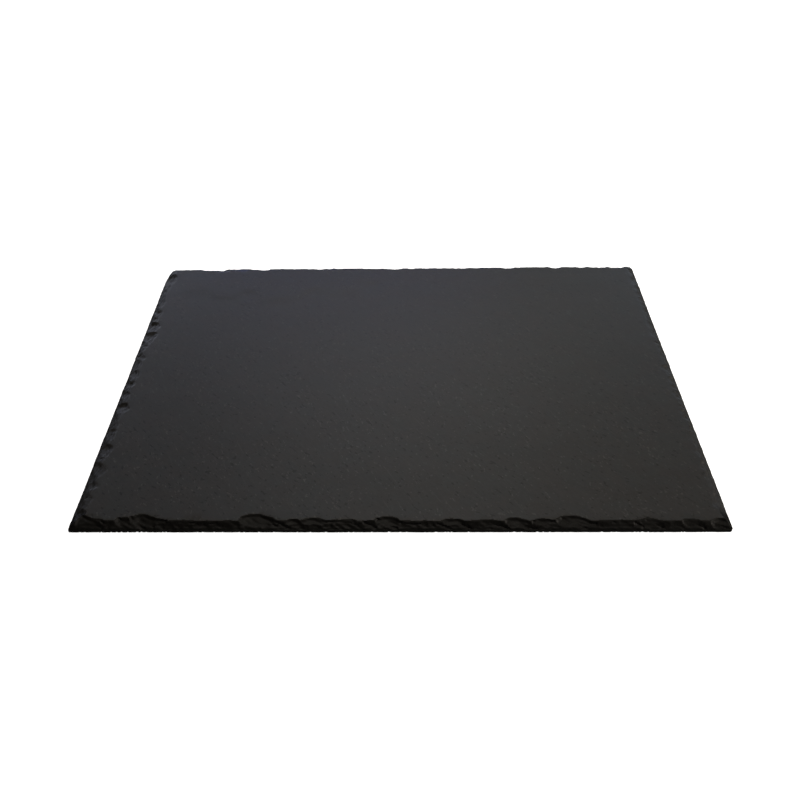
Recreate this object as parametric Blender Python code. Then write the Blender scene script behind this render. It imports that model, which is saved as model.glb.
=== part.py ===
"""A slate slab: a hand-dressed serving board of natural slate, 400 x 300 x 6 mm, as one faceted stone.

The upper face is a cleavage plane with one thin layer left on it. All four edges were broken back by hand from the
upper face, so each is a rough slope with flake scars in it, over a thin upright lip along the underside.
The slab lies on its underside with its long front edge towards -Y. The origin is under its middle.

Lengths are in millimetres up to slab_mesh, which makes the mesh in metres.
"""

import math

import bmesh
import bpy
import numpy as np

MM = 0.001

WIDTH = 400.0
DEPTH = 300.0
# The right end of the back edge stands this much further back than its middle, and the left end as much less.
BACK_SKEW = 2.5
THICKNESS = 6.0

# Each side's broken slope: how far it runs in from the outline, the upright lip that it starts from, and how
# full its profile is, from 1 for a straight slope.
SLOPES = {
    "front": {"run": 4.8, "lip": 2.2, "fullness": 1.0},
    "right": {"run": 6.2, "lip": 2.0, "fullness": 1.7},
    "back": {"run": 4.2, "lip": 1.6, "fullness": 1.1},
    "left": {"run": 8.6, "lip": 2.2, "fullness": 1.9},
}
LEAST_LIP = 0.7
BROKEN_WITHIN = 26.0
RUN_VARIES = {"front": 0.16, "right": 0.30, "back": 0.14, "left": 0.26}
RUN_WAVELENGTH = 12.0

# The large flake scars that show: place along the side from its middle, half length, reach in from the
# outline, and height of the scar's floor.
FRONT_SCARS = (
    (-166.5, 7.0, 7.8, 4.2),
    (-155.0, 12.0, 9.2, 4.3),
    (-84.0, 15.0, 8.8, 4.3),
    (-63.0, 8.0, 5.6, 4.3),
    (-50.0, 13.0, 6.4, 4.6),
    (-7.0, 10.0, 8.0, 4.2),
    (34.0, 11.0, 5.6, 4.3),
    (73.0, 11.0, 6.0, 4.1),
    (87.0, 9.0, 6.0, 4.2),
    (106.0, 14.0, 8.2, 4.2),
    (193.0, 8.0, 6.2, 4.3),
)
# Hollows in the front slope, from the lip steeply up to a low step: place, half length and reach.
FRONT_HOLLOWS = (
    (-188.0, 11.0, 9.8),
    (-32.0, 10.0, 6.2),
    (-16.0, 8.0, 5.4),
    (55.0, 12.0, 5.4),
    (134.0, 8.0, 5.2),
    (151.0, 9.0, 6.8),
    (176.0, 9.0, 6.0),
)
HOLLOW_RISE = 0.52
LEFT_SCARS = (
    (138.0, 10.0, 10.0, 4.5),
    (124.0, 8.0, 11.2, 5.2),
    (112.0, 7.0, 10.8, 4.9),
    (98.0, 9.0, 12.6, 5.2),
    (80.0, 10.0, 11.8, 4.7),
    (62.0, 8.0, 9.4, 4.7),
    (36.0, 8.0, 11.6, 4.5),
    (22.0, 7.0, 8.4, 4.1),
    (-2.0, 9.0, 10.2, 4.9),
    (-22.0, 8.0, 10.0, 5.2),
    (-50.0, 9.0, 12.6, 4.9),
    (-65.0, 10.0, 12.8, 4.7),
    (-82.0, 7.0, 9.4, 5.1),
    (-134.0, 13.0, 11.5, 4.3),
)
RIGHT_SCARS = (
    (-126.0, 8.0, 7.6, 4.4),
    (-111.0, 7.0, 7.0, 4.6),
    (-97.0, 6.0, 6.4, 4.2),
    (-84.0, 6.0, 7.6, 4.8),
    (-70.0, 7.0, 7.2, 4.4),
    (-25.0, 6.0, 7.0, 4.6),
    (4.0, 6.0, 8.4, 4.2),
    (50.0, 6.0, 6.8, 4.4),
    (103.0, 6.0, 6.8, 4.6),
    (126.0, 7.0, 7.2, 4.4),
)
BACK_SCARS = (
    (-184.0, 10.0, 6.2, 3.4),
    (-172.0, 8.0, 5.9, 3.6),
    (-130.0, 9.0, 4.6, 2.8),
    (-88.0, 11.0, 4.6, 3.2),
    (-47.0, 4.0, 4.9, 3.6),
    (10.0, 13.0, 4.8, 3.0),
    (71.0, 7.0, 4.8, 3.4),
    (121.0, 10.0, 4.8, 3.1),
    (167.0, 22.0, 5.2, 3.6),
)
SIDES = ("front", "right", "back", "left")
LARGE_SCARS = {"front": FRONT_SCARS, "right": RIGHT_SCARS, "back": BACK_SCARS, "left": LEFT_SCARS}
# Smaller scars between them are spread by a rule, as (mean spacing, half length low and high, reach low and
# high, floor low and high).
SPREAD_SCARS = {
    "front": (9.0, (3.0, 6.0), (3.0, 4.8), (2.2, 3.6)),
    "right": (9.5, (3.0, 7.0), (4.6, 7.2), (4.0, 5.0)),
    "back": (9.0, (3.0, 8.0), (3.0, 4.5), (2.0, 3.8)),
    "left": (9.5, (3.5, 7.5), (5.8, 9.4), (4.4, 5.2)),
}
# Nearer a side's start than this, going along it, no small flake came off.
SMOOTH_BEFORE = {"front": -200.0, "right": -150.0, "back": -200.0, "left": -88.0}
# The flakes ran along the stone's grain, so each scar's long axis turns outwards by about this much.
SLANT = math.radians(17)
SLANT_VARIES = math.radians(8)
# A scar's height above its floor grows as this power of the way out: a flat floor with a steep rim on the
# front, and a softer bowl at the sides. Its floor falls a little outwards.
RIM_POWERS = {"front": 6.5, "right": 2.4, "back": 3.6, "left": 2.2}
# The sides' flakes broke off towards the front, so a scar there is short behind its middle and long before it:
# how much its half length is multiplied by on each side of the middle, going along the side.
TAILS = {"front": (1.0, 1.0), "right": (1.5, 0.7), "back": (1.0, 1.0), "left": (0.65, 1.6)}
FLOOR_FALL = 0.15
LEAST_STEP = 0.5

# Broken slate steps down in laminae of about this thickness: how much of the way each side's slope steps, and
# the share of each lamina that is a tread.
LAMINA = 1.15
STEPPED = {"front": 0.25, "right": 0.3, "back": 0.6, "left": 0.3}
TREAD = 0.62
BROKEN_ROUGHNESS = 0.28
BROKEN_WAVELENGTH = 4.5
# No flake cut into the upright lip, nor into the steep foot above it at the sides: each side's least height at
# the outline, how much that grows inwards, and over what distance.
FOOTS = {"front": (2.2, 0.0, 1.0), "right": (2.0, 1.0, 1.6), "back": (1.2, 0.6, 0.8), "left": (2.2, 1.0, 1.6)}

# A last thin layer of the stone is left on the upper face at the back left, inside an uneven ellipse.
LAYER_LEFT = 0.25
LAYER_MIDDLE = (-112.0, 163.0)
LAYER_RADII = (108.0, 69.0)
LAYER_WANDERS = 0.16
LAYER_WAVELENGTH = 18.0
LAYER_RISER = 14.0

# Corner rounding of the outline: radii along X and Y.
CORNERS = {
    (-1, -1): (0.5, 0.5),
    (1, -1): (2.4, 2.0),
    (1, 1): (4.5, 4.0),
    (-1, 1): (6.5, 19.0),
}
OUTLINE_WANDERS = 0.12
OUTLINE_WAVELENGTH = 19.0
OUTLINE_FADES = 16.0

GRID_STEP = 1.0
TRIANGLES = 7000
ALMOST_LEVEL = 0.06
LATTICE = 512
SEED = 31

SLATE_COLOUR = (0.030, 0.030, 0.031, 1.0)
SLATE_ROUGHNESS = 0.62


def smooth_step(share):
    """0 below 0, 1 above 1, and a smooth rise between."""
    share = np.clip(share, 0, 1)
    return share * share * (3 - 2 * share)


def smooth_noise(x, y, seed):
    """Noise from -1 to 1 that changes over one unit of x and y."""
    values = np.random.default_rng(seed).uniform(-1, 1, (LATTICE, LATTICE))
    column, row = np.floor(x).astype(int), np.floor(y).astype(int)
    across, up = smooth_step(x - column), smooth_step(y - row)
    column, row = column % LATTICE, row % LATTICE
    right, above = (column + 1) % LATTICE, (row + 1) % LATTICE
    low = values[row, column] * (1 - across) + values[row, right] * across
    high = values[above, column] * (1 - across) + values[above, right] * across
    return low * (1 - up) + high * up


def side_places(x, y):
    """For each side, how far along it a point is from its middle, and how far in from the outline."""
    return {
        "front": (x, y + DEPTH / 2),
        "right": (y, WIDTH / 2 - x),
        "back": (-x, DEPTH / 2 - y),
        "left": (-y, x + WIDTH / 2),
    }


def side_length(side):
    return WIDTH if side in ("front", "back") else DEPTH


def spread_scars(side, rng):
    """The smaller scars along a side, by its terms in SPREAD_SCARS."""
    scars = []
    spacing, half_lengths, reaches, floors = SPREAD_SCARS[side]
    place = -side_length(side) / 2
    while place < side_length(side) / 2:
        scars.append((place, rng.uniform(*half_lengths), rng.uniform(*reaches), rng.uniform(*floors)))
        place += spacing * rng.uniform(0.5, 1.5)
    return [scar for scar in scars if scar[0] >= SMOOTH_BEFORE[side]]


def with_fall(scars):
    return [(*scar, FLOOR_FALL) for scar in scars]


def as_hollows(scars):
    """Scars whose floors rise steeply from the front's lip: (place, half length, reach, floor height, fall)."""
    return [(*scar[:3], SLOPES["front"]["lip"] + HOLLOW_RISE * scar[2], HOLLOW_RISE) for scar in scars]


def scars_of(side, rng):
    """Each scar on a side as (place, half length, reach, floor height, floor's fall, slant)."""
    lesser = spread_scars(side, rng)
    if side == "front":
        scars = with_fall(FRONT_SCARS) + as_hollows(FRONT_HOLLOWS) + as_hollows(lesser)
    else:
        scars = with_fall(LARGE_SCARS[side] + tuple(lesser))
    return [(*scar, -SLANT + rng.uniform(-SLANT_VARIES, SLANT_VARIES)) for scar in scars]


def scar_height(side, along, inset, scar, face):
    """The bowl that a flake left: low over its floor, and above the face outside its rim."""
    place, half_length, reach, floor, fall, slant = scar
    lengthways = (along - place) * math.cos(slant) + inset * math.sin(slant)
    crossways = inset * math.cos(slant) - (along - place) * math.sin(slant)
    before, after = TAILS[side]
    rim = np.hypot(lengthways / (half_length * np.where(lengthways < 0, before, after)), crossways / reach)
    sloped_floor = np.minimum(floor - fall * (reach - inset), face - LEAST_STEP)
    return sloped_floor + (face - sloped_floor) * rim ** RIM_POWERS[side]


def slope_height(side, along, inset, face, seed):
    """The rough slope that dressing left along a side."""
    varies = RUN_VARIES[side] * smooth_noise(along / RUN_WAVELENGTH, inset / RUN_WAVELENGTH, seed)
    share = inset / (SLOPES[side]["run"] * (1 + varies))
    risen = np.where(share < 1, 1 - np.maximum(1 - share, 0) ** SLOPES[side]["fullness"], share)
    lip = SLOPES[side]["lip"]
    return lip + (face - lip) * risen


def face_height(x, y):
    """The upper face: level, but for the thin layer left on it."""
    wander = LAYER_WANDERS * smooth_noise(x / LAYER_WAVELENGTH, y / LAYER_WAVELENGTH, SEED + 50)
    reach = np.hypot((x - LAYER_MIDDLE[0]) / LAYER_RADII[0], (y - LAYER_MIDDLE[1]) / LAYER_RADII[1]) + wander
    left = smooth_step((1 - reach) * min(LAYER_RADII) / LAYER_RISER)
    return THICKNESS - LAYER_LEFT * (1 - left)


def in_laminae(height, face, x, y, share):
    """Broken stone stepped down below the face, by a share of the way from a plain slope to full laminae."""
    rough = BROKEN_ROUGHNESS * smooth_noise(x / BROKEN_WAVELENGTH, y / BROKEN_WAVELENGTH, SEED + 70)
    below = (face - height + rough) / LAMINA
    lamina = np.floor(below)
    riser = smooth_step((below - lamina - TREAD) / (1 - TREAD))
    stepped = face - LAMINA * (lamina + riser)
    broken = smooth_step((face - height) / (0.5 * LAMINA))
    return height + share * broken * (stepped - height)


def side_height(side, x, y, face, scars):
    """The broken edge along one side, at points near it."""
    along, inset = side_places(x, y)[side]
    edge = slope_height(side, along, inset, face, SEED + SIDES.index(side))
    for scar in scars:
        edge = np.minimum(edge, scar_height(side, along, inset, scar, face))
    edge = in_laminae(edge, face, x, y, STEPPED[side])
    lip, rise, width = FOOTS[side]
    return np.maximum(edge, np.minimum(lip + rise * np.clip(inset / width, 0, 1), face))


def surface_height(x, y):
    """Height of the slab's upper side over its plan, where x and y are on the unrounded rectangle."""
    rng = np.random.default_rng(SEED)
    face = face_height(x, y)
    height = face.copy()
    for side, (_, inset) in side_places(x, y).items():
        near = inset < BROKEN_WITHIN
        edge = side_height(side, x[near], y[near], face[near], scars_of(side, rng))
        height[near] = np.minimum(height[near], edge)
    return np.maximum(height, LEAST_LIP)


def plan_place(x, y):
    """Where a point of the plain rectangle lies once the corners are rounded and the outline wanders."""
    for (side_x, side_y), (radius_x, radius_y) in CORNERS.items():
        u = np.clip((side_x * x - WIDTH / 2) / radius_x + 1, 0, 1)
        v = np.clip((side_y * y - DEPTH / 2) / radius_y + 1, 0, 1)
        inside = (u > 0) & (v > 0)
        x = np.where(inside, x + side_x * radius_x * u * (np.sqrt(1 - v * v / 2) - 1), x)
        y = np.where(inside, y + side_y * radius_y * v * (np.sqrt(1 - u * u / 2) - 1), y)
    near_side = 1 - smooth_step((WIDTH / 2 - np.abs(x)) / OUTLINE_FADES)
    near_end = 1 - smooth_step((DEPTH / 2 - np.abs(y)) / OUTLINE_FADES)
    shift_x = near_side * smooth_noise(np.sign(x) + 7.5, y / OUTLINE_WAVELENGTH, SEED + 80)
    shift_y = near_end * smooth_noise(x / OUTLINE_WAVELENGTH, np.sign(y) + 7.5, SEED + 81)
    skew = BACK_SKEW * x / (WIDTH / 2) * (y + DEPTH / 2) / DEPTH
    return x + OUTLINE_WANDERS * shift_x, y + OUTLINE_WANDERS * shift_y + skew


def slab_mesh():
    """The upper surface as a fine grid, its border drawn down to the underside, and the underside filled."""
    bm = bmesh.new()
    bmesh.ops.create_grid(
        bm, x_segments=round(WIDTH / GRID_STEP), y_segments=round(DEPTH / GRID_STEP), size=0.5
    )
    grid = np.array([vert.co[:2] for vert in bm.verts])
    x, y = grid[:, 0] * WIDTH, grid[:, 1] * DEPTH
    height = surface_height(x, y)
    x, y = plan_place(x, y)
    x -= (x.min() + x.max()) / 2
    y -= (y.min() + y.max()) / 2
    for vert, place in zip(bm.verts, np.stack((x, y, height), axis=1) * MM):
        vert.co = place
    border = [edge for edge in bm.edges if edge.is_boundary]
    drawn = bmesh.ops.extrude_edge_only(bm, edges=border)["geom"]
    for vert in drawn:
        if isinstance(vert, bmesh.types.BMVert):
            vert.co.z = 0
    underside = [edge for edge in drawn if isinstance(edge, bmesh.types.BMEdge) and edge.is_boundary]
    bmesh.ops.edgeloop_fill(bm, edges=underside)
    bmesh.ops.recalc_face_normals(bm, faces=bm.faces)
    mesh = bpy.data.meshes.new("slate_slab")
    bm.to_mesh(mesh)
    bm.free()
    return mesh


def slate_material():
    """Dark, dry, matt slate."""
    material = bpy.data.materials.new("slate")
    material.use_nodes = True
    shader = material.node_tree.nodes["Principled BSDF"]
    shader.inputs["Base Color"].default_value = SLATE_COLOUR
    shader.inputs["Roughness"].default_value = SLATE_ROUGHNESS
    shader.inputs["Metallic"].default_value = 0.0
    return material


def thinned_out(mesh):
    """The mesh with its triangles merged to larger ones where the stone is flat."""
    fine = bpy.data.objects.new("fine_slab", mesh)
    bpy.context.scene.collection.objects.link(fine)
    mesh.calc_loop_triangles()
    thin = fine.modifiers.new("thin", "DECIMATE")
    thin.ratio = TRIANGLES / len(mesh.loop_triangles)
    graph = bpy.context.evaluated_depsgraph_get()
    thinned = bpy.data.meshes.new_from_object(fine.evaluated_get(graph))
    bpy.data.objects.remove(fine)
    return thinned


def level_faces(mesh):
    """Puts the points that lie almost on the upper face, or on the layer left on it, exactly there."""
    for vert in mesh.vertices:
        for level in (THICKNESS, THICKNESS - LAYER_LEFT):
            if abs(vert.co.z - level * MM) < ALMOST_LEVEL * MM:
                vert.co.z = level * MM


def slate_slab():
    """The one piece of stone."""
    mesh = thinned_out(slab_mesh())
    level_faces(mesh)
    mesh.materials.append(slate_material())
    slab = bpy.data.objects.new("slate_slab", mesh)
    bpy.context.scene.collection.objects.link(slab)


def main():
    for old in list(bpy.data.objects):
        bpy.data.objects.remove(old)
    slate_slab()


main()
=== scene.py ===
"""The slate slab as it looks, with its riven face and broken edges, on a pale floor under soft light.

The stone has the same outline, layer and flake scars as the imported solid, drawn again here on a finer grid,
with the small flakes, shards, thin laminae, grooves, pits and low relief that the solid leaves out. Lengths
are in millimetres up to stone_mesh, which makes the mesh in metres.
"""

import math

import bmesh
import bpy
import numpy as np
from mathutils import Matrix, Vector


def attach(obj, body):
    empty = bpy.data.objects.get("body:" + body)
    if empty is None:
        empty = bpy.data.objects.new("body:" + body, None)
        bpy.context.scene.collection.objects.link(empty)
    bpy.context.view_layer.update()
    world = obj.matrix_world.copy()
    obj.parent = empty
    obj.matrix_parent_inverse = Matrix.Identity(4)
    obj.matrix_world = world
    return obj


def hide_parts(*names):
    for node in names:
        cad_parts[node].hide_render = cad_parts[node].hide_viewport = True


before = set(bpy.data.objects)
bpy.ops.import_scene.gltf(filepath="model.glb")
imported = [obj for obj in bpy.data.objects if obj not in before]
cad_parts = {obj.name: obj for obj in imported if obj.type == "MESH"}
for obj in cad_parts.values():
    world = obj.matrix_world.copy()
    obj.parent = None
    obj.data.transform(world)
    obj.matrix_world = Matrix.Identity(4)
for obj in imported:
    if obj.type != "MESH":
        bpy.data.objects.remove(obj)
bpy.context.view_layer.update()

MM = 0.001
WIDTH = 400.0
DEPTH = 300.0
THICKNESS = 6.0
# The back edge's left end is this much nearer than a true rectangle's, and its right end as much farther.
BACK_SKEW = 2.5

# Each side's broken slope: how far it runs in from the outline, the upright lip that it starts from, and how
# full its profile is, where 1 is a straight slope.
SLOPES = {
    "front": {"run": 4.8, "lip": 2.2, "fullness": 1.0},
    "right": {"run": 6.2, "lip": 2.0, "fullness": 1.7},
    "back": {"run": 4.2, "lip": 1.6, "fullness": 1.1},
    "left": {"run": 8.6, "lip": 2.2, "fullness": 1.9},
}
# Nothing of the upper side is lower than this, and nothing farther in than this is broken.
LEAST_LIP = 0.7
BROKEN_WITHIN = 26.0
# How much each side's run varies, as a share of it, and over what distance.
RUN_VARIES = {"front": 0.16, "right": 0.30, "back": 0.14, "left": 0.26}
RUN_WAVELENGTH = 12.0

# The large flake scars that show: place along the side from its middle, half length, reach in from the
# outline, and height of the scar's floor.
FRONT_SCARS = (
    (-166.5, 7.0, 7.8, 4.2),
    (-155.0, 12.0, 9.2, 4.3),
    (-84.0, 15.0, 8.8, 4.3),
    (-63.0, 8.0, 5.6, 4.3),
    (-50.0, 13.0, 6.4, 4.6),
    (-7.0, 10.0, 8.0, 4.2),
    (34.0, 11.0, 5.6, 4.3),
    (73.0, 11.0, 6.0, 4.1),
    (87.0, 9.0, 6.0, 4.2),
    (106.0, 14.0, 8.2, 4.2),
    (193.0, 8.0, 6.2, 4.3),
)
# Hollows in the front slope, from the lip steeply up to a low step: place, half length and reach. Their
# floors rise by this share of the way in.
FRONT_HOLLOWS = (
    (-188.0, 11.0, 9.8),
    (-32.0, 10.0, 6.2),
    (-16.0, 8.0, 5.4),
    (55.0, 12.0, 5.4),
    (134.0, 8.0, 5.2),
    (151.0, 9.0, 6.8),
    (176.0, 9.0, 6.0),
)
HOLLOW_RISE = 0.52
LEFT_SCARS = (
    (138.0, 10.0, 10.0, 4.5),
    (124.0, 8.0, 11.2, 5.2),
    (112.0, 7.0, 10.8, 4.9),
    (98.0, 9.0, 12.6, 5.2),
    (80.0, 10.0, 11.8, 4.7),
    (62.0, 8.0, 9.4, 4.7),
    (36.0, 8.0, 11.6, 4.5),
    (22.0, 7.0, 8.4, 4.1),
    (-2.0, 9.0, 10.2, 4.9),
    (-22.0, 8.0, 10.0, 5.2),
    (-50.0, 9.0, 12.6, 4.9),
    (-65.0, 10.0, 12.8, 4.7),
    (-82.0, 7.0, 9.4, 5.1),
    (-134.0, 13.0, 11.5, 4.3),
)
RIGHT_SCARS = (
    (-126.0, 8.0, 7.6, 4.4),
    (-111.0, 7.0, 7.0, 4.6),
    (-97.0, 6.0, 6.4, 4.2),
    (-84.0, 6.0, 7.6, 4.8),
    (-70.0, 7.0, 7.2, 4.4),
    (-25.0, 6.0, 7.0, 4.6),
    (4.0, 6.0, 8.4, 4.2),
    (50.0, 6.0, 6.8, 4.4),
    (103.0, 6.0, 6.8, 4.6),
    (126.0, 7.0, 7.2, 4.4),
)
BACK_SCARS = (
    (-184.0, 10.0, 6.2, 3.4),
    (-172.0, 8.0, 5.9, 3.6),
    (-130.0, 9.0, 4.6, 2.8),
    (-88.0, 11.0, 4.6, 3.2),
    (-47.0, 4.0, 4.9, 3.6),
    (10.0, 13.0, 4.8, 3.0),
    (71.0, 7.0, 4.8, 3.4),
    (121.0, 10.0, 4.8, 3.1),
    (167.0, 22.0, 5.2, 3.6),
)
SIDES = ("front", "right", "back", "left")
LARGE_SCARS = {"front": FRONT_SCARS, "right": RIGHT_SCARS, "back": BACK_SCARS, "left": LEFT_SCARS}
# Smaller scars between them are spread by a rule, as (mean spacing, half length low and high, reach low and
# high, floor low and high). Each spacing is the mean one times a number in this range.
SPACING_VARIES = (0.5, 1.5)
SPREAD_SCARS = {
    "front": (9.0, (3.0, 6.0), (3.0, 4.8), (2.2, 3.6)),
    "right": (9.5, (3.0, 7.0), (4.6, 7.2), (4.0, 5.0)),
    "back": (9.0, (3.0, 8.0), (3.0, 4.5), (2.0, 3.8)),
    "left": (9.5, (3.5, 7.5), (5.8, 9.4), (4.4, 5.2)),
}
# Nearer a side's start than this, going along it, no small flake came off.
SMOOTH_BEFORE = {"front": -200.0, "right": -150.0, "back": -200.0, "left": -88.0}
# The flakes ran along the stone's grain, so each scar's long axis turns outwards by about this much.
SLANT = math.radians(17)
SLANT_VARIES = math.radians(8)
# A scar's height above its floor grows as this power of the way out: a flat floor with a steep rim on the
# front, and a softer bowl at the sides. Its floor falls a little outwards, and is at least a step below the
# face.
RIM_POWERS = {"front": 6.5, "right": 2.4, "back": 3.6, "left": 2.2}
FLOOR_FALL = 0.15
LEAST_STEP = 0.5
# The sides' flakes broke off towards the front, so a scar there is short behind its middle and long before
# it: how much its half length is multiplied by on each side of the middle, going along the side.
TAILS = {"front": (1.0, 1.0), "right": (1.5, 0.7), "back": (1.0, 1.0), "left": (0.65, 1.6)}

# Broken slate steps down in laminae, thick ones as in the solid and thin ones between them. TREAD is how much
# of a lamina's step lies level. The laminae are uneven, the thin ones half as much.
LAMINA = 1.15
THIN_LAMINA = 0.34
TREAD = 0.62
BROKEN_ROUGHNESS = 0.28
BROKEN_WAVELENGTH = 4.5
# How much of the way each side's slope steps, and how much of the thin steps shows.
STEPPED = {"front": 0.25, "right": 0.3, "back": 0.6, "left": 0.3}
THIN_SHARE = 0.2
# No flake cut into the upright lip, nor into the steep foot above it at the sides: each side's least height
# at the outline, how much that grows inwards, and over what distance.
FOOTS = {
    "front": (2.2, 0.0, 1.0),
    "right": (2.0, 1.0, 1.6),
    "back": (1.2, 0.6, 0.8),
    "left": (2.2, 1.0, 1.6),
}
FOOT_UNEVEN = 0.12
FOOT_WAVELENGTH = 4.0
# Points nearer the outline than this belong to the lip.
LIP_WITHIN = 0.3

# The last thin layer, left at the back left of the face inside an ellipse whose rim wanders: how thick it is,
# and how wide the slope down from it.
LAYER_LEFT = 0.25
LAYER_MIDDLE = (-112.0, 163.0)
LAYER_RADII = (108.0, 69.0)
LAYER_WANDERS = 0.16
LAYER_WAVELENGTH = 18.0
LAYER_RISER = 14.0

# Each corner's rounding along X and along Y, and how far the outline between the corners wanders. The noise
# for the wandering is read on one row for each of two opposite sides, a unit before and after this one.
CORNERS = {
    (-1, -1): (0.2, 0.2),
    (1, -1): (2.4, 2.0),
    (1, 1): (4.5, 4.0),
    (-1, 1): (6.5, 19.0),
}
OUTLINE_WANDERS = 0.12
OUTLINE_WAVELENGTH = 19.0
OUTLINE_FADES = 16.0
OUTLINE_ROW = 7.5

# Noise repeats after this many units.
LATTICE = 512
# What starts each draw of scars and each field of noise. The sides' slopes take one number each from theirs
# on, and so do the waves of a face's relief.
SCARS_SEED = 31
SMALL_SCARS_SEED = 32
SLOPES_SEED = 31
LAYER_SEED = 81
LAMINAE_SEED = 101
THIN_LAMINAE_SEED = 102
OUTLINE_SEEDS = (111, 112)
RAGGED_SEEDS = (121, 122)
LIP_SEED = 126
FOOT_SEED = 127
GROOVES_SEED = 128
NICKS_SEED = 129
FACE_SEED = 231
UNDERSIDE_SEED = 331

# Small flakes off the rims of the large ones, on the same terms as SPREAD_SCARS.
SMALL_SCARS = {
    "front": (8.0, (1.5, 4.0), (3.0, 5.0), (2.8, 4.6)),
    "right": (6.5, (1.5, 4.0), (3.6, 7.0), (4.0, 5.0)),
    "back": (5.5, (1.5, 3.5), (2.4, 4.2), (3.2, 4.9)),
    "left": (6.5, (1.5, 4.0), (4.4, 8.6), (4.2, 5.2)),
}
# Thin shards that came off the front edge aslant. Each leaves a step that starts at a place along the front
# and an inset from it, and ends at another, with a narrow shelf below: (start, inset, end, inset, step). The
# step's rim keeps to that line as far as OVERRUN times its length. The shelf falls outwards, and the step
# rises steeply from it.
SHARDS = (
    (-193.0, 9.2, -179.0, 4.2, 0.9),
    (-190.0, 5.0, -180.0, 1.8, 0.8),
    (-169.7, 7.1, -154.0, 1.2, 1.2),
    (-162.7, 8.1, -141.0, 5.0, 1.1),
    (-158.0, 5.0, -148.0, 2.0, 1.0),
    (-127.0, 3.4, -112.0, 2.8, 0.5),
    (-91.3, 7.9, -77.0, 5.0, 1.0),
    (-88.0, 5.6, -74.0, 2.4, 1.0),
    (-77.0, 5.0, -66.0, 1.5, 1.1),
    (-57.0, 4.6, -40.0, 4.5, 0.9),
    (-39.6, 4.8, -25.0, 2.8, 0.9),
    (-21.5, 4.3, -14.0, 1.5, 1.1),
    (-14.0, 6.6, 1.0, 4.0, 1.3),
    (-12.0, 4.0, -2.0, 1.4, 1.1),
    (1.0, 3.2, 14.0, 2.9, 0.7),
    (22.0, 3.6, 31.0, 1.0, 0.9),
    (35.0, 4.0, 43.5, 0.8, 1.1),
    (53.0, 4.2, 66.0, 0.8, 1.0),
    (67.4, 4.6, 82.0, 0.8, 1.1),
    (70.0, 3.0, 80.0, 0.6, 0.9),
    (80.0, 4.6, 93.0, 4.2, 1.0),
    (97.7, 6.1, 118.0, 3.6, 1.2),
    (101.0, 4.2, 112.0, 1.6, 1.0),
    (128.0, 4.2, 136.0, 3.8, 0.8),
    (141.0, 4.0, 146.5, 1.6, 1.0),
    (148.2, 5.8, 158.5, 1.2, 0.9),
    (164.0, 3.0, 171.0, 1.2, 0.7),
    (174.8, 4.0, 183.5, 1.0, 0.9),
    (189.0, 3.5, 197.0, 0.8, 0.9),
)
OVERRUN = 1.2
SHELF_FALL = 0.18
STEP_STEEPNESS = 3.0
# The dressing's irregularity: how far it shifts the flakes' rims, and its wavelengths along X and Y.
RAGGED = {"front": 0.4, "right": 0.8, "back": 0.25, "left": 1.0}
RAGGED_WAVES = {"front": (4.5, 2.2), "right": (3.0, 4.0), "back": (4.5, 2.2), "left": (3.0, 4.0)}
# Fine grooves run over the broken stone along the flakes: their depth, wavelengths along and across, and the
# height below the face over which they grow to it.
GROOVE_DEPTHS = {"front": 0.24, "right": 0.14, "back": 0.2, "left": 0.14}
GROOVE_WAVES = (7.0, 1.3)
GROOVE_TURN = math.radians(-28)
GROOVES_GROW = 0.5

# Low relief of the two riven faces: (amplitude, wavelength along X, wavelength along Y).
FACE_RELIEF = (
    (0.060, 72.0, 34.0),
    (0.026, 21.0, 13.0),
    (0.012, 7.0, 5.0),
)
# The upper face lies this much lower than the solid's on the whole, and everywhere this far below its top.
FACE_LOWERED = 0.02
TOP_INSIDE = 0.01
# The deepest of the underside's hollows.
UNDERSIDE_DEEPEST = 0.18
# Pits in the upright lip, which has this many rows of points between its top and its foot.
LIP_PITS = 0.16
LIP_WAVELENGTH = 1.7
LIP_LEVELS = 3
# Nicks in the lower arris, all round the outline. They are where the noise is above NICK_FROM.
NICK_HEIGHT = 0.7
NICK_REACH = 1.2
NICK_WAVELENGTH = 1.0
NICK_FROM = 0.57
NICK_STEEPNESS = 1.6
# The outer points are drawn in by this much, to stay inside the solid's box: those nearer the outline than
# DRAWN_IN. AT_RIM tells the outline's own points.
KEPT_INSIDE = 0.06
DRAWN_IN = 1.0
AT_RIM = 0.01

# The mesh's spacing, halved nearer the outline than each of two distances, how many triangles it is thinned
# to, and the angle from which an edge is drawn sharp.
GRID_STEP = 2.0
FINER_NEAR = (19.0, 17.0)
TRIANGLES = 188000
SHARP = math.radians(32)
# What counts as riven: no farther than this below the upper face, or above the underside's deepest hollow,
# and with a normal at least this upright.
FACE_TOLERANCE = 0.16
UNDERSIDE_TOLERANCE = 0.01
FACE_UPRIGHT = 0.97
UNDERSIDE_UPRIGHT = 0.9


def smooth_step(share):
    """0 below 0, 1 above 1, and a smooth rise between."""
    share = np.clip(share, 0, 1)
    return share * share * (3 - 2 * share)


def smooth_noise(x, y, seed):
    """Noise from -1 to 1 that changes over one unit of x and y."""
    values = np.random.default_rng(seed).uniform(-1, 1, (LATTICE, LATTICE))
    column, row = np.floor(x).astype(int), np.floor(y).astype(int)
    across, up = smooth_step(x - column), smooth_step(y - row)
    column, row = column % LATTICE, row % LATTICE
    right, above = (column + 1) % LATTICE, (row + 1) % LATTICE
    low = values[row, column] * (1 - across) + values[row, right] * across
    high = values[above, column] * (1 - across) + values[above, right] * across
    return low * (1 - up) + high * up


def side_places(x, y):
    """For each side, how far along it a point is from its middle, and how far in from the outline."""
    return {
        "front": (x, y + DEPTH / 2),
        "right": (y, WIDTH / 2 - x),
        "back": (-x, DEPTH / 2 - y),
        "left": (-y, x + WIDTH / 2),
    }


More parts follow.
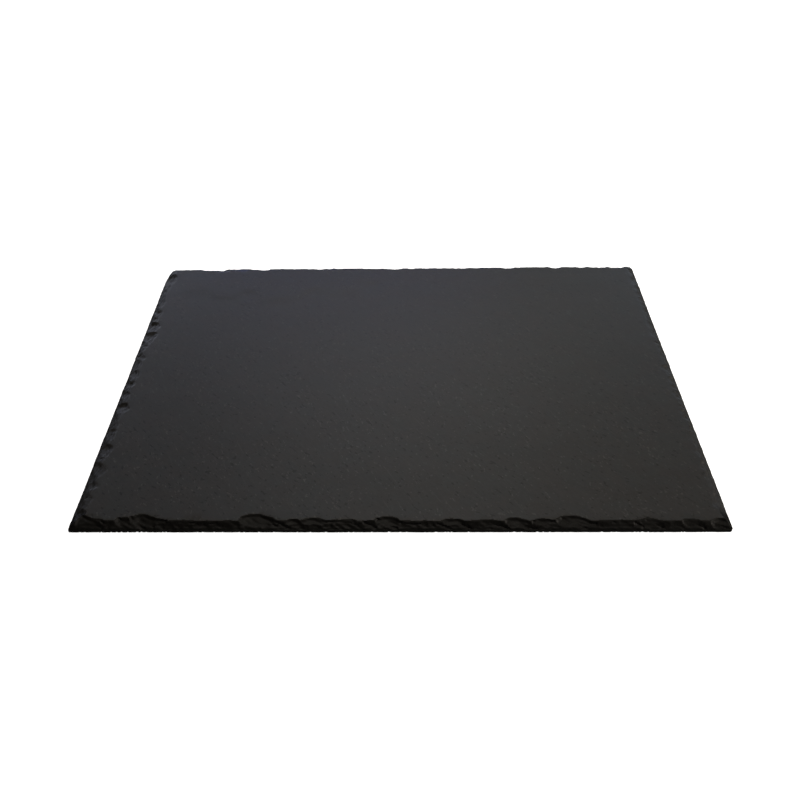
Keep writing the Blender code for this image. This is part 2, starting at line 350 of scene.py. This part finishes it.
def side_length(side):
    """How long a side is."""
    return WIDTH if side in ("front", "back") else DEPTH


def spread(side, terms, rng):
    """Scars spread along a side by its terms."""
    scars = []
    spacing, half_lengths, reaches, floors = terms[side]
    place = -side_length(side) / 2
    while place < side_length(side) / 2:
        scars.append((place, rng.uniform(*half_lengths), rng.uniform(*reaches), rng.uniform(*floors)))
        place += spacing * rng.uniform(*SPACING_VARIES)
    return [scar for scar in scars if scar[0] >= SMOOTH_BEFORE[side]]


def slanted(scars, rng):
    """The scars, each with its slant."""
    return [(*scar, -SLANT + rng.uniform(-SLANT_VARIES, SLANT_VARIES)) for scar in scars]


def with_fall(scars):
    """The scars, each with its floor's fall."""
    return [(*scar, FLOOR_FALL) for scar in scars]


def as_hollows(scars):
    """The scars, each with a floor that rises steeply from the front's lip."""
    return [(*scar[:3], SLOPES["front"]["lip"] + HOLLOW_RISE * scar[2], HOLLOW_RISE) for scar in scars]


def scars_of(side, rng):
    """Each scar of the solid on a side as (place, half length, reach, floor height, floor's fall, slant)."""
    large, lesser = with_fall(LARGE_SCARS[side]), spread(side, SPREAD_SCARS, rng)
    if side == "front":
        return slanted(large + as_hollows(FRONT_HOLLOWS) + as_hollows(lesser), rng)
    return slanted(large + with_fall(lesser), rng)


def scar_height(side, along, inset, scar, face):
    """The bowl that a flake left: low over its floor, and above the face outside its rim."""
    place, half_length, reach, floor, fall, slant = scar
    lengthways = (along - place) * math.cos(slant) + inset * math.sin(slant)
    crossways = inset * math.cos(slant) - (along - place) * math.sin(slant)
    before, after = TAILS[side]
    tail = half_length * np.where(lengthways < 0, before, after)
    rim = np.hypot(lengthways / tail, crossways / reach)
    sloped_floor = np.minimum(floor - fall * (reach - inset), face - LEAST_STEP)
    return sloped_floor + (face - sloped_floor) * rim ** RIM_POWERS[side]


def slope_height(side, along, inset, face, seed):
    """The rough slope that dressing left along a side."""
    varies = RUN_VARIES[side] * smooth_noise(along / RUN_WAVELENGTH, inset / RUN_WAVELENGTH, seed)
    share = inset / (SLOPES[side]["run"] * (1 + varies))
    risen = np.where(share < 1, 1 - np.maximum(1 - share, 0) ** SLOPES[side]["fullness"], share)
    lip = SLOPES[side]["lip"]
    return lip + (face - lip) * risen


def grooves(side, along, inset):
    """Relief of the grooves, down to their depth and up as much."""
    lengthways = along * math.cos(GROOVE_TURN) + inset * math.sin(GROOVE_TURN)
    crossways = inset * math.cos(GROOVE_TURN) - along * math.sin(GROOVE_TURN)
    relief = smooth_noise(lengthways / GROOVE_WAVES[0], crossways / GROOVE_WAVES[1], GROOVES_SEED)
    return GROOVE_DEPTHS[side] * relief


def layer_share(x, y):
    """1 where the last thin layer is left on the face, and 0 elsewhere."""
    wander = LAYER_WANDERS * smooth_noise(x / LAYER_WAVELENGTH, y / LAYER_WAVELENGTH, LAYER_SEED)
    across, up = (x - LAYER_MIDDLE[0]) / LAYER_RADII[0], (y - LAYER_MIDDLE[1]) / LAYER_RADII[1]
    reach = np.hypot(across, up) + wander
    return smooth_step((1 - reach) * min(LAYER_RADII) / LAYER_RISER)


def shard_height(along, inset, shard, face):
    """The step and narrow shelf that a shard left on the front slope, rising steeply beside them."""
    start, start_inset, end, end_inset, step = shard
    length = math.hypot(end - start, end_inset - start_inset)
    turn_x, turn_y = (end - start) / length, (end_inset - start_inset) / length
    onwards = (along - start) * turn_x + (inset - start_inset) * turn_y
    outwards = (along - start) * turn_y - (inset - start_inset) * turn_x
    rim_inset = start_inset + (end_inset - start_inset) * np.clip(onwards / length, 0, OVERRUN)
    slope = SLOPES["front"]
    beside = slope["lip"] + (face - slope["lip"]) * np.minimum(rim_inset / slope["run"], 1)
    shelf = beside - step - SHELF_FALL * np.maximum(outwards, 0)
    past_ends = np.maximum(-onwards, 0) + np.maximum(onwards - length, 0)
    return shelf + (np.maximum(-outwards, 0) * STEP_STEEPNESS + past_ends)


def riven_relief(x, y, seed):
    """The low unevenness of a cleavage face."""
    relief = np.zeros_like(x)
    for number, (amplitude, long_wave, short_wave) in enumerate(FACE_RELIEF):
        relief += amplitude * smooth_noise(x / long_wave, y / short_wave, seed + number)
    return relief


def face_height(x, y):
    """The upper face, with its low relief and the thin layer left on it."""
    level = THICKNESS - LAYER_LEFT * (1 - layer_share(x, y))
    return np.minimum(level + riven_relief(x, y, FACE_SEED) - FACE_LOWERED, THICKNESS - TOP_INSIDE)


def in_laminae(height, face, x, y, thickness, rough, seed):
    """Broken stone stepped down in laminae below the face."""
    unevenness = rough * smooth_noise(x / BROKEN_WAVELENGTH, y / BROKEN_WAVELENGTH, seed)
    below = (face - height + unevenness) / thickness
    lamina = np.floor(below)
    riser = smooth_step((below - lamina - TREAD) / (1 - TREAD))
    stepped = face - thickness * (lamina + riser)
    broken = smooth_step((face - height) / (thickness / 2))
    return height + broken * (stepped - height)


def side_height(side, x, y, level, scars):
    """The broken edge along one side, at points near it."""
    waves = RAGGED_WAVES[side]
    ragged_x = x + RAGGED[side] * smooth_noise(x / waves[0], y / waves[1], RAGGED_SEEDS[0])
    ragged_y = y + RAGGED[side] * smooth_noise(x / waves[0], y / waves[1], RAGGED_SEEDS[1])
    along, inset = side_places(ragged_x, ragged_y)[side]
    inset = np.maximum(inset, 0)
    edge = slope_height(side, along, inset, level, SLOPES_SEED + SIDES.index(side))
    for scar in scars:
        edge = np.minimum(edge, scar_height(side, along, inset, scar, level))
    if side == "front":
        for shard in SHARDS:
            edge = np.minimum(edge, shard_height(along, inset, shard, level))
    edge += grooves(side, along, inset) * smooth_step((level - edge) / GROOVES_GROW)
    thick = in_laminae(edge, level, x, y, LAMINA, BROKEN_ROUGHNESS, LAMINAE_SEED)
    thin = in_laminae(edge, level, x, y, THIN_LAMINA, BROKEN_ROUGHNESS / 2, THIN_LAMINAE_SEED)
    edge += STEPPED[side] * (thick - edge) + THIN_SHARE * (thin - edge)
    lip, rise, width = FOOTS[side]
    uneven = FOOT_UNEVEN * smooth_noise(along / FOOT_WAVELENGTH, inset / FOOT_WAVELENGTH, FOOT_SEED)
    foot = lip + rise * np.clip(inset / width, 0, 1) + uneven
    on_lip = side_places(x, y)[side][1] < LIP_WITHIN
    return np.where(on_lip, foot, np.maximum(edge, np.minimum(foot, level)))


def upper_height(x, y):
    """Height of the slab's upper side over its plan, where x and y are on the unrounded rectangle."""
    rng = np.random.default_rng(SCARS_SEED)
    fine_rng = np.random.default_rng(SMALL_SCARS_SEED)
    face = face_height(x, y)
    height = face.copy()
    for side, (_, inset) in side_places(x, y).items():
        small = spread(side, SMALL_SCARS, fine_rng)
        small = as_hollows(small) if side == "front" else with_fall(small)
        scars = scars_of(side, rng) + slanted(small, fine_rng)
        near = inset < BROKEN_WITHIN
        edge = side_height(side, x[near], y[near], face[near], scars)
        height[near] = np.minimum(height[near], edge)
    return np.maximum(height, LEAST_LIP)


def lower_height(x, y):
    """Height of the underside: it rests on its high spots, and is hollow by a hair between them."""
    relief = riven_relief(x, y, UNDERSIDE_SEED)
    relief = np.clip(UNDERSIDE_DEEPEST / 2 + relief, 0, UNDERSIDE_DEEPEST)
    inset = np.minimum(WIDTH / 2 - np.abs(x), DEPTH / 2 - np.abs(y))
    nicked = smooth_noise(x / NICK_WAVELENGTH, y / NICK_WAVELENGTH, NICKS_SEED)
    nicked = smooth_step(NICK_STEEPNESS * ((nicked - NICK_FROM) / (1 - NICK_FROM)))
    return relief + NICK_HEIGHT * nicked * np.clip(1 - inset / NICK_REACH, 0, 1)


def plan_place(x, y):
    """Where a point of the plain rectangle lies once the corners are rounded and the outline wanders."""
    for (side_x, side_y), (radius_x, radius_y) in CORNERS.items():
        u = np.clip((side_x * x - WIDTH / 2) / radius_x + 1, 0, 1)
        v = np.clip((side_y * y - DEPTH / 2) / radius_y + 1, 0, 1)
        inside = (u > 0) & (v > 0)
        x = np.where(inside, x + side_x * radius_x * u * (np.sqrt(1 - v * v / 2) - 1), x)
        y = np.where(inside, y + side_y * radius_y * v * (np.sqrt(1 - u * u / 2) - 1), y)
    near_side = 1 - smooth_step((WIDTH / 2 - np.abs(x)) / OUTLINE_FADES)
    near_end = 1 - smooth_step((DEPTH / 2 - np.abs(y)) / OUTLINE_FADES)
    row_x, row_y = np.sign(x) + OUTLINE_ROW, np.sign(y) + OUTLINE_ROW
    shift_x = near_side * smooth_noise(row_x, y / OUTLINE_WAVELENGTH, OUTLINE_SEEDS[0])
    shift_y = near_end * smooth_noise(x / OUTLINE_WAVELENGTH, row_y, OUTLINE_SEEDS[1])
    skew = BACK_SKEW * x / (WIDTH / 2) * (y + DEPTH / 2) / DEPTH
    return x + OUTLINE_WANDERS * shift_x, y + OUTLINE_WANDERS * shift_y + skew


def stone_grid():
    """A closed box of two grids, one unit apart and finer near the outline, with levels round its rim."""
    bm = bmesh.new()
    columns, rows = round(WIDTH / GRID_STEP), round(DEPTH / GRID_STEP)
    bmesh.ops.create_grid(bm, x_segments=columns, y_segments=rows, size=0.5)
    for vert in bm.verts:
        vert.co.x *= WIDTH
        vert.co.y *= DEPTH
    for reach in FINER_NEAR:
        near = [edge for edge in bm.edges if is_near_outline(edge, reach)]
        bmesh.ops.subdivide_edges(bm, edges=near, cuts=1, use_grid_fill=True)
    raised = bmesh.ops.extrude_face_region(bm, geom=bm.faces[:], use_keep_orig=True)["geom"]
    for vert in raised:
        if isinstance(vert, bmesh.types.BMVert):
            vert.co.z = 1
    upright = [edge for edge in bm.edges if edge.verts[0].co.z != edge.verts[1].co.z]
    bmesh.ops.subdivide_edges(bm, edges=upright, cuts=LIP_LEVELS, use_grid_fill=True)
    bmesh.ops.recalc_face_normals(bm, faces=bm.faces)
    return bm


def is_near_outline(edge, reach):
    """Is the middle of an edge within reach of the slab's outline?"""
    middle = (edge.verts[0].co + edge.verts[1].co) / 2
    return WIDTH / 2 - abs(middle.x) < reach or DEPTH / 2 - abs(middle.y) < reach


def stone_mesh():
    """The stone's fine mesh, in metres."""
    bm = stone_grid()
    grid = np.array([vert.co for vert in bm.verts])
    x, y, level = grid.T
    height = lower_height(x, y) * (1 - level) + upper_height(x, y) * level
    place_x, place_y = plan_place(x, y)
    middle_x = (place_x.min() + place_x.max()) / 2
    middle_y = (place_y.min() + place_y.max()) / 2
    rim = (np.abs(x) > WIDTH / 2 - AT_RIM) | (np.abs(y) > DEPTH / 2 - AT_RIM)
    pits = 0.5 + 0.5 * smooth_noise((x + y) / LIP_WAVELENGTH, height / LIP_WAVELENGTH, LIP_SEED)
    sunk = np.where(rim, KEPT_INSIDE + LIP_PITS * pits**2, KEPT_INSIDE)
    place_x -= np.where(np.abs(x) > WIDTH / 2 - DRAWN_IN, np.sign(x) * sunk, 0)
    place_y -= np.where(np.abs(y) > DEPTH / 2 - DRAWN_IN, np.sign(y) * sunk, 0)
    places = np.stack((place_x - middle_x, place_y - middle_y, height), axis=1) * MM
    for vert, place in zip(bm.verts, places):
        vert.co = place
    mesh = bpy.data.meshes.new("stone")
    bm.to_mesh(mesh)
    bm.free()
    return mesh


def added(name, data):
    """A new object in the scene."""
    made = bpy.data.objects.new(name, data)
    bpy.context.scene.collection.objects.link(made)
    return made


def thinned_out(mesh):
    """The mesh with its triangles merged to larger ones where the stone is flat."""
    fine = added("fine_stone", mesh)
    mesh.calc_loop_triangles()
    thin = fine.modifiers.new("thin", "DECIMATE")
    thin.ratio = min(1, TRIANGLES / len(mesh.loop_triangles))
    graph = bpy.context.evaluated_depsgraph_get()
    thinned = bpy.data.meshes.new_from_object(fine.evaluated_get(graph))
    bpy.data.objects.remove(fine)
    return thinned


def part_faces(mesh):
    """Gives the riven faces the first material and the broken stone the second."""
    for face in mesh.polygons:
        middle = face.center / MM
        lowest, highest = THICKNESS - LAYER_LEFT - FACE_TOLERANCE, UNDERSIDE_DEEPEST + UNDERSIDE_TOLERANCE
        on_top = middle.z > lowest and face.normal.z > FACE_UPRIGHT
        beneath = middle.z < highest and face.normal.z < -UNDERSIDE_UPRIGHT
        face.material_index = 0 if on_top or beneath else 1


class Nodes:
    """A material's node tree, with short calls for what the stone's finishes use."""

    def __init__(self, name):
        self.material = bpy.data.materials.new(name)
        self.material.use_nodes = True
        self.tree = self.material.node_tree
        self.shader = self.tree.nodes["Principled BSDF"]
        self.place = self.add("ShaderNodeTexCoord").outputs["Object"]

    def add(self, kind, **settings):
        """A new node of a kind."""
        node = self.tree.nodes.new(kind)
        for name, value in settings.items():
            setattr(node, name, value)
        return node

    def join(self, source, target):
        """Links one socket to another."""
        self.tree.links.new(source, target)

    def noise(self, wavelength_mm, detail, stretch, turn, shift):
        """Noise from about 0 to 1 with features of that size, drawn out along a direction turned from +X."""
        mapping = self.add("ShaderNodeMapping", vector_type="TEXTURE")
        mapping.inputs["Scale"].default_value = (stretch * MM, MM, MM)
        mapping.inputs["Rotation"].default_value = (0, 0, turn)
        mapping.inputs["Location"].default_value = (shift, shift, 0)
        self.join(self.place, mapping.inputs["Vector"])
        noise = self.add("ShaderNodeTexNoise")
        noise.inputs["Scale"].default_value = 1 / wavelength_mm
        noise.inputs["Detail"].default_value = detail
        noise.inputs["Roughness"].default_value = NOISE_ROUGHNESS
        self.join(mapping.outputs["Vector"], noise.inputs["Vector"])
        return noise.outputs["Fac"]

    def between(self, value, low_in, high_in, low, high):
        """value mapped from one range to another, and held at its ends."""
        node = self.add("ShaderNodeMapRange")
        self.join(value, node.inputs["Value"])
        ends = {"From Min": low_in, "From Max": high_in, "To Min": low, "To Max": high}
        for name, number in ends.items():
            node.inputs[name].default_value = number
        return node.outputs["Result"]

    def math(self, operation, first, second):
        """What an operation makes of two values, each a socket or a number."""
        node = self.add("ShaderNodeMath", operation=operation)
        for socket, value in zip(node.inputs, (first, second)):
            if isinstance(value, (int, float)):
                socket.default_value = value
            else:
                self.join(value, socket)
        return node.outputs["Value"]

    def tint(self, colour, shade):
        """colour times a grey."""
        node = self.add("ShaderNodeVectorMath", operation="SCALE")
        node.inputs[0].default_value = colour
        self.join(shade, node.inputs["Scale"])
        return node.outputs["Vector"]

    def axis(self, name):
        """A point's place along one axis of the slab, in metres."""
        split = self.add("ShaderNodeSeparateXYZ")
        self.join(self.place, split.inputs["Vector"])
        return split.outputs[name]

    def mixed(self, first, second, share):
        """first where the share is 0, second where it is 1, and a mixture between."""
        node = self.add("ShaderNodeMix", data_type="VECTOR")
        self.join(share, node.inputs["Factor"])
        ends = [socket for socket in node.inputs if socket.type == "VECTOR"][-2:]
        for socket, value in zip(ends, (first, second)):
            self.join(value, socket)
        return next(socket for socket in node.outputs if socket.type == "VECTOR")

    def bump(self, height_mm, strength):
        """The normal of a face with that relief."""
        node = self.add("ShaderNodeBump")
        node.inputs["Strength"].default_value = strength
        node.inputs["Distance"].default_value = MM
        self.join(height_mm, node.inputs["Height"])
        return node.outputs["Normal"]


# The face is faintly browner in places and greener in others.
FACE_COLOURS = (0.0236, 0.0227, 0.0220), (0.0223, 0.0230, 0.0227)
# The broken stone is paler at the right than at the left, which is painted light on the right's broken edge,
# and darker and browner along the front, which is painted shade on the front's broken slopes. It turns so
# between these places along X, and along Y, in metres.
LEFT_COLOUR = (0.0200, 0.0195, 0.0188)
LIT_RIGHT_COLOUR = (0.0330, 0.0327, 0.0320)
SHADED_FRONT_COLOUR = (0.0044, 0.0040, 0.0034)
LIT_RIGHT_FADES = (-0.10, 0.10)
SHADED_FRONT_FADES = (-0.142, -0.134)
NOISE_ROUGHNESS = 0.55
STREAK_TURN = math.radians(-48)
PAINTED_GLINT_TURN = math.radians(-60)
SCRATCH_TURN = math.radians(-62)
# The face's marks. Each is noise, as (wavelength, detail, stretch, turn, shift), and the range of that noise
# over which the shade goes from one number to another.
FACE_MARKS = {
    "grain": ((2.2, 4, 1.0, 0.0, 0.0), (0.25, 0.75, 0.92, 1.08)),
    "streaks": ((1.7, 2, 5.0, STREAK_TURN, 0.31), (0.3, 0.7, 0.92, 1.08)),
    "mottle": ((26.0, 3, 2.2, 0.0, 0.11), (0.3, 0.7, 0.95, 1.05)),
    # The pits are dented in the bump below, and their darkening of the colour is painted shade in them.
    "pits": ((2.0, 1, 2.0, STREAK_TURN, 0.57), (0.65, 0.70, 1.0, 0.50)),
    # The glints are painted highlights: specks made paler in the colour.
    "painted_glints": ((1.6, 1, 1.7, PAINTED_GLINT_TURN, 0.83), (0.66, 0.72, 1.0, 1.75)),
    "scratches": ((1.3, 0, 14.0, SCRATCH_TURN, 0.43), (0.77, 0.81, 1.0, 1.22)),
}
# The marks are plain at the front, and fade to this share at the back, between these places along Y, in
# metres.
BACK_MARKS = 0.62
MARKS_FADE = (-0.09, 0.06)
# The pits, darkened with painted shade, and the painted glints crowd in some places more than in others, by
# this noise and this much.
CROWDED_MARKS = ("pits", "painted_glints")
CROWDING_NOISE = (22.0, 1, 1.0, 0.0, 0.17)
CROWDING = 0.16
NOISE_MIDDLE = 0.5
# Where the face turns from its first colour to its second.
PATCHES_NOISE = (14.0, 2, 1.0, 0.0, 0.71)
PATCHES_TURN = (0.42, 0.58, 0.0, 1.0)
# The face's bump, as heights in millimetres, the range of the pits' noise over which their depth goes from
# one to another, and its strength. Then the face's finish.
GRAIN_HEIGHT = 0.05
STREAK_HEIGHT = 0.04
PIT_DEPTHS = (0.62, 0.74, 0.0, 0.03)
FACE_BUMP = 0.5
FACE_MATT = 0.42
FACE_SPECULAR = 0.25
# The broken stone's grain, which is noise and a range of shade as above, its bump, and its finish.
EDGE_GRAIN = ((0.9, 4, 1.0, 0.0, 0.0), (0.25, 0.75, 0.7, 1.3))
EDGE_GRAIN_HEIGHT = 0.12
EDGE_BUMP = 0.6
EDGE_MATT = 0.50
EDGE_SPECULAR = 0.145


def riven_slate():
    """The cleavage faces: fine dark grain aslant, pits with painted shade, painted glints and a soft sheen.
    """
    nodes = Nodes("riven_slate")
    crowding = nodes.math("SUBTRACT", nodes.noise(*CROWDING_NOISE), NOISE_MIDDLE)
    crowding = nodes.math("MULTIPLY", crowding, CROWDING)
    marks = {}
    shade = 1.0
    # Each mark multiplies the colour, so the pits paint shade into it and the glints paint highlights.
    for name, (noise, shades) in FACE_MARKS.items():
        mark = nodes.noise(*noise)
        if name in CROWDED_MARKS:
            mark = nodes.math("ADD", mark, crowding)
        marks[name] = mark
        shade = nodes.math("MULTIPLY", shade, nodes.between(mark, *shades))
    strength = nodes.between(nodes.axis("Y"), *MARKS_FADE, 1.0, BACK_MARKS)
    differs = nodes.math("MULTIPLY", nodes.math("SUBTRACT", shade, 1.0), strength)
    shade = nodes.math("ADD", 1.0, differs)
    browner, greener = (nodes.tint(colour, shade) for colour in FACE_COLOURS)
    patches = nodes.between(nodes.noise(*PATCHES_NOISE), *PATCHES_TURN)
    nodes.join(nodes.mixed(browner, greener, patches), nodes.shader.inputs["Base Color"])
    grain = nodes.math("MULTIPLY", marks["grain"], GRAIN_HEIGHT)
    height = nodes.math("ADD", grain, nodes.math("MULTIPLY", marks["streaks"], STREAK_HEIGHT))
    height = nodes.math("SUBTRACT", height, nodes.between(marks["pits"], *PIT_DEPTHS))
    nodes.join(nodes.bump(height, FACE_BUMP), nodes.shader.inputs["Normal"])
    nodes.shader.inputs["Roughness"].default_value = FACE_MATT
    nodes.shader.inputs["Specular IOR Level"].default_value = FACE_SPECULAR
    return nodes.material


def broken_slate():
    """The broken edges: darker and matt, with painted shade along the front and painted light at the right.
    """
    nodes = Nodes("broken_slate")
    noise, shades = EDGE_GRAIN
    grain = nodes.noise(*noise)
    shade = nodes.between(grain, *shades)
    # Painted light and shade: the broken stone turns paler towards the right and much darker along the front.
    towards_lit_right = nodes.between(nodes.axis("X"), *LIT_RIGHT_FADES, 0.0, 1.0)
    into_front_shade = nodes.between(nodes.axis("Y"), *SHADED_FRONT_FADES, 1.0, 0.0)
    left, right, front = (nodes.tint(each, shade) for each in (LEFT_COLOUR, LIT_RIGHT_COLOUR, SHADED_FRONT_COLOUR))
    colour = nodes.mixed(nodes.mixed(left, right, towards_lit_right), front, into_front_shade)
    nodes.join(colour, nodes.shader.inputs["Base Color"])
    nodes.shader.inputs["Roughness"].default_value = EDGE_MATT
    nodes.shader.inputs["Specular IOR Level"].default_value = EDGE_SPECULAR
    height = nodes.math("MULTIPLY", grain, EDGE_GRAIN_HEIGHT)
    nodes.join(nodes.bump(height, EDGE_BUMP), nodes.shader.inputs["Normal"])
    return nodes.material


def stone():
    """The slab in place of its plain solid."""
    mesh = thinned_out(stone_mesh())
    mesh.materials.append(riven_slate())
    mesh.materials.append(broken_slate())
    part_faces(mesh)
    mesh.polygons.foreach_set("use_smooth", [True] * len(mesh.polygons))
    mesh.set_sharp_from_angle(angle=SHARP)
    piece = added("riven_slate_slab", mesh)
    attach(piece, "root")
    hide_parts("slate_slab")


# The camera, worked out from the slab's outline in the photograph. It is turned a little off the slab's
# middle line, and leans a little.
CAMERA_PLACE = (0.0025, -0.5035, 0.3947)
CAMERA_PITCH = math.radians(39.570)
CAMERA_YAW = math.radians(0.353)
CAMERA_LEAN = math.radians(-0.293)
CAMERA_LENS = 39.112
CAMERA_SENSOR = 36.0


def camera():
    """The camera that the photograph was taken with."""
    data = bpy.data.cameras.new("camera")
    data.sensor_width = CAMERA_SENSOR
    data.lens = CAMERA_LENS
    made = added("camera", data)
    turned = Matrix.Rotation(CAMERA_YAW, 4, "Z") @ Matrix.Rotation(math.pi / 2 - CAMERA_PITCH, 4, "X")
    made.matrix_world = Matrix.Translation(CAMERA_PLACE) @ turned @ Matrix.Rotation(CAMERA_LEAN, 4, "Z")
    bpy.context.scene.camera = made


# Soft panels round the slab: bearing from straight behind it towards the right, and height above the table,
# both in degrees, then watts and colour.
PANELS = (
    ("back_left", -30, 12, 6.2, (0.78, 0.83, 1.0)),
    ("back_low", -5, 12, 2.5, (0.06, 0.14, 1.0)),
    ("back_right", 30, 15, 4.0, (0.66, 0.80, 1.0)),
    ("back", 0, 38, 5.4, (0.97, 0.97, 0.91)),
    ("back_right_high", 30, 42, 1.3, (1.0, 0.82, 0.55)),
    ("left", -60, 45, 1.1, (1.0, 0.88, 0.74)),
    ("right", 90, 30, 22.5, (1.0, 0.92, 0.82)),
)
PANEL_DISTANCE = 2.2
PANEL_SIZE = (1.0, 0.6)
# A small one straight above the slab: place, size, watts and colour.
OVERHEAD = ((0, 0, 0.8), (0.4, 0.4), 1.8, (1.0, 0.93, 0.84))


def panel_place(bearing, height):
    """Where a panel stands, in metres."""
    bearing, height = math.radians(bearing), math.radians(height)
    level = PANEL_DISTANCE * math.cos(height)
    return level * math.sin(bearing), level * math.cos(bearing), PANEL_DISTANCE * math.sin(height)


def softbox(name, place, size, watts, colour):
    """A rectangular area light that faces the middle of the slab."""
    data = bpy.data.lights.new(name, "AREA")
    data.shape = "RECTANGLE"
    data.size, data.size_y = size
    data.energy = watts
    data.color = colour
    light = added(name, data)
    light.location = place
    light.rotation_euler = Vector(place).to_track_quat("Z", "Y").to_euler()
    light.visible_camera = False


# The floor is white paper that glows, so that it looks evenly white.
FLOOR_SIZE = 12.0
FLOOR_COLOUR = (0.85, 0.85, 0.85, 1)
FLOOR_GLOW = 0.97
# The room gives this little light, and looks this bright to the camera.
ROOM_COLOUR = (1, 0.97, 0.92, 1)
ROOM_LIGHT = 0.01
ROOM_SEEN = 1.0


def floor():
    """The pale floor, which the slab doesn't mirror."""
    mesh = bpy.data.meshes.new("floor")
    half = FLOOR_SIZE / 2
    corners = [(-half, -half, 0), (half, -half, 0), (half, half, 0), (-half, half, 0)]
    mesh.from_pydata(corners, [], [(0, 1, 2, 3)])
    made = added("floor", mesh)
    material = bpy.data.materials.new("floor_paper")
    material.use_nodes = True
    shader = material.node_tree.nodes["Principled BSDF"]
    shader.inputs["Base Color"].default_value = FLOOR_COLOUR
    shader.inputs["Roughness"].default_value = 1.0
    shader.inputs["Specular IOR Level"].default_value = 0.0
    shader.inputs["Emission Color"].default_value = (1, 1, 1, 1)
    shader.inputs["Emission Strength"].default_value = FLOOR_GLOW
    mesh.materials.append(material)
    made.visible_glossy = False


def surroundings():
    """A dim room that the camera sees as pale as the floor."""
    world = bpy.data.worlds.new("studio")
    world.use_nodes = True
    tree = world.node_tree
    room = tree.nodes["Background"]
    room.inputs["Color"].default_value = ROOM_COLOUR
    path = tree.nodes.new("ShaderNodeLightPath")
    seen = tree.nodes.new("ShaderNodeMapRange")
    seen.inputs["To Min"].default_value = ROOM_LIGHT
    seen.inputs["To Max"].default_value = ROOM_SEEN
    tree.links.new(path.outputs["Is Camera Ray"], seen.inputs["Value"])
    tree.links.new(seen.outputs["Result"], room.inputs["Strength"])
    bpy.context.scene.world = world


stone()
floor()
camera()
surroundings()
for name, bearing, height, watts, colour in PANELS:
    softbox(name, panel_place(bearing, height), PANEL_SIZE, watts, colour)
softbox("overhead", *OVERHEAD)
bpy.context.scene.view_settings.view_transform = "Standard"
